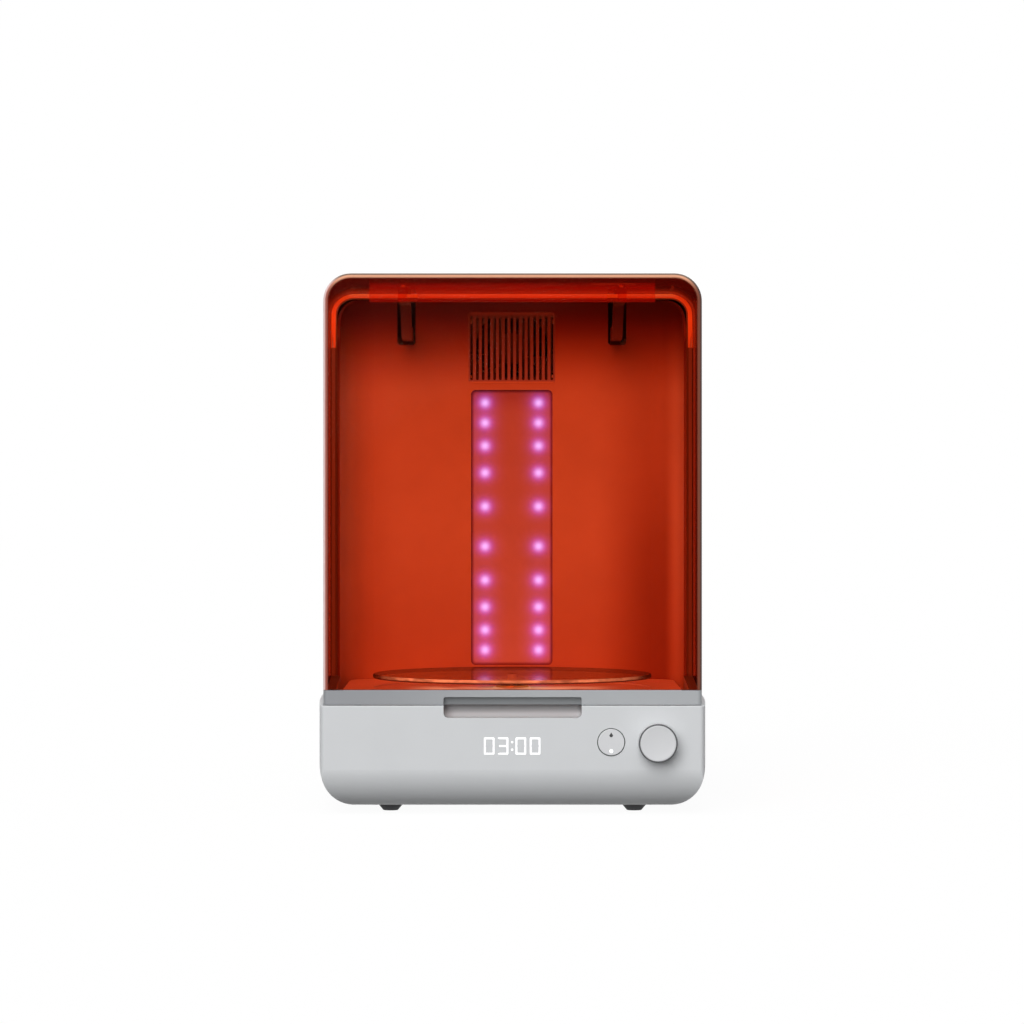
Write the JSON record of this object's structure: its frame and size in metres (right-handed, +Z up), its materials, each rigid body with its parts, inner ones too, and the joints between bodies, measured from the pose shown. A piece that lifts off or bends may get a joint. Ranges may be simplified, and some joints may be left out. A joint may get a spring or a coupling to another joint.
{
  "type": "dental lab light curing unit",
  "caption": "Bench-top light curing unit with a lifting clear orange hood, glass turntable, LED window, grey base, digit display, button and knob.",
  "frame": {"origin": "middle of the footprint on the bench, under the feet", "axes": "+X the user's right, +Y to the back, +Z up"},
  "size_m": [0.284, 0.3, 0.3843],
  "materials": {
    "body_grey": "satin moulded light grey",
    "plate_grey": "fine textured paint",
    "frame_grey": "satin moulded mid grey",
    "button_grey": "satin",
    "knob_grey": "satin",
    "hood_orange": "clear polished orange acrylic",
    "reflector": "satin reflective sheet",
    "diffuser": "frosted sheet",
    "clear_glass": "polished clear glass",
    "led_clear": "lit violet LEDs",
    "board_white": "white solder mask",
    "board_green": "green solder mask",
    "aluminium_raw": "extruded",
    "arm_grey": "bead blasted",
    "steel": "zinc plated",
    "motor_steel": "plain",
    "bush_brass": "turned",
    "pin_brass": "nickel plated",
    "white_plastic": "satin",
    "black_plastic": "matt",
    "rubber_dark": "matt",
    "seal_foam": "matt foam",
    "filter_foam": "open black foam",
    "grille_grey": "satin moulded",
    "trim_dark": "satin dark grey",
    "black_metal": "matt black paint"
  },
  "bodies": {
    "housing": {"base_plate": "plate_grey", "base_screws": "steel", "base_shell": "body_grey", "board_posts": "black_plastic", "bracket_screws": "steel", "button_switch": "black_plastic", "chamber_back_panel": "reflector", "chamber_floor": "reflector", "control_board": "board_green", "cover_screws": "steel", "display_module": "black_plastic", "encoder_body": "motor_steel", "equipment_frame": "steel", "fan_frame": "black_plastic", "friction_sleeves": "black_plastic", "heat_sink_left": "aluminium_raw", "heat_sink_right": "aluminium_raw", "heater_element": "black_metal", "hinge_bracket_left": "black_metal", "hinge_bracket_right": "black_metal", "hinge_pins": "steel", "hinge_screws": "steel", "hood_switch": "black_plastic", "inlet_pins": "pin_brass", "led_board_left": "board_white", "led_board_right": "board_white", "led_window": "diffuser", "leds_left": "led_clear", "leds_right": "led_clear", "lid_bumpers": "rubber_dark", "light_seal": "seal_foam", "motor_bracket": "steel", "power_board": "board_green", "power_inlet": "black_plastic", "rear_cover": "plate_grey", "rubber_feet": "rubber_dark", "spindle_bush": "bush_brass", "switch_frame": "black_plastic", "temperature_sensor": "steel", "tower_shell": "body_grey", "turntable_motor": "motor_steel", "vent_filters": "filter_foam", "vent_grille": "grille_grey"},
    "lid": {"lid_hood": "hood_orange", "lid_frame": "frame_grey", "hinge_crossbar": "hood_orange", "hinge_arm_left": "arm_grey", "hinge_arm_right": "arm_grey", "arm_screws": "steel"},
    "turntable": {"drive_spindle": "steel", "drive_hub": "white_plastic"},
    "glass": {"glass_turntable": "clear_glass"},
    "fan": {"fan_rotor": "black_plastic"},
    "button": {"mode_button": "button_grey"},
    "knob_slider": {"encoder_slider": "steel"},
    "knob": {"knob": "knob_grey", "knob_ring": "trim_dark", "encoder_shaft": "steel"},
    "power_rocker": {"rocker": "black_plastic"},
    "interlock": {"switch_plunger": "white_plastic"}
  },
  "joints": [
    {"name": "lid_hinge", "type": "hinge", "parent": "housing", "child": "lid", "pos_m": [0, 0.1055, 0.3398], "axis": [-1, 0, 0], "range_deg": [0, 75]},
    {"name": "turntable_spin", "type": "hinge", "parent": "housing", "child": "turntable", "pos_m": [0, -0.021, 0.0738], "axis": [0, 0, 1], "continuous": true},
    {"name": "glass_lift", "type": "slide", "parent": "turntable", "child": "glass", "axis": [0, 0, 1], "range_m": [0, 0.02]},
    {"name": "fan_spin", "type": "hinge", "parent": "housing", "child": "fan", "pos_m": [0, 0.108, 0.3402], "axis": [0, 1, 0], "continuous": true},
    {"name": "button_press", "type": "slide", "parent": "housing", "child": "button", "axis": [0, 1, 0], "range_m": [0, 0.0008], "stiffness_N_per_m": 600},
    {"name": "knob_press", "type": "slide", "parent": "housing", "child": "knob_slider", "axis": [0, 1, 0], "range_m": [0, 0.0008], "stiffness_N_per_m": 800},
    {"name": "knob_turn", "type": "hinge", "parent": "knob_slider", "child": "knob", "pos_m": [0.1027, -0.136, 0.0518], "axis": [0, 1, 0], "continuous": true},
    {"name": "power_rocker_tilt", "type": "hinge", "parent": "housing", "child": "power_rocker", "pos_m": [-0.046, 0.145, 0.0458], "axis": [0, 0, 1], "range_deg": [-18, 0]},
    {"name": "interlock_rise", "type": "slide", "parent": "housing", "child": "interlock", "axis": [0, 0, 1], "range_m": [0, 0.0015]}
  ],
  "couplings": [
    {"joint": "interlock_rise", "follows": "lid_hinge", "m_per_rad": 0.00114}
  ]
}
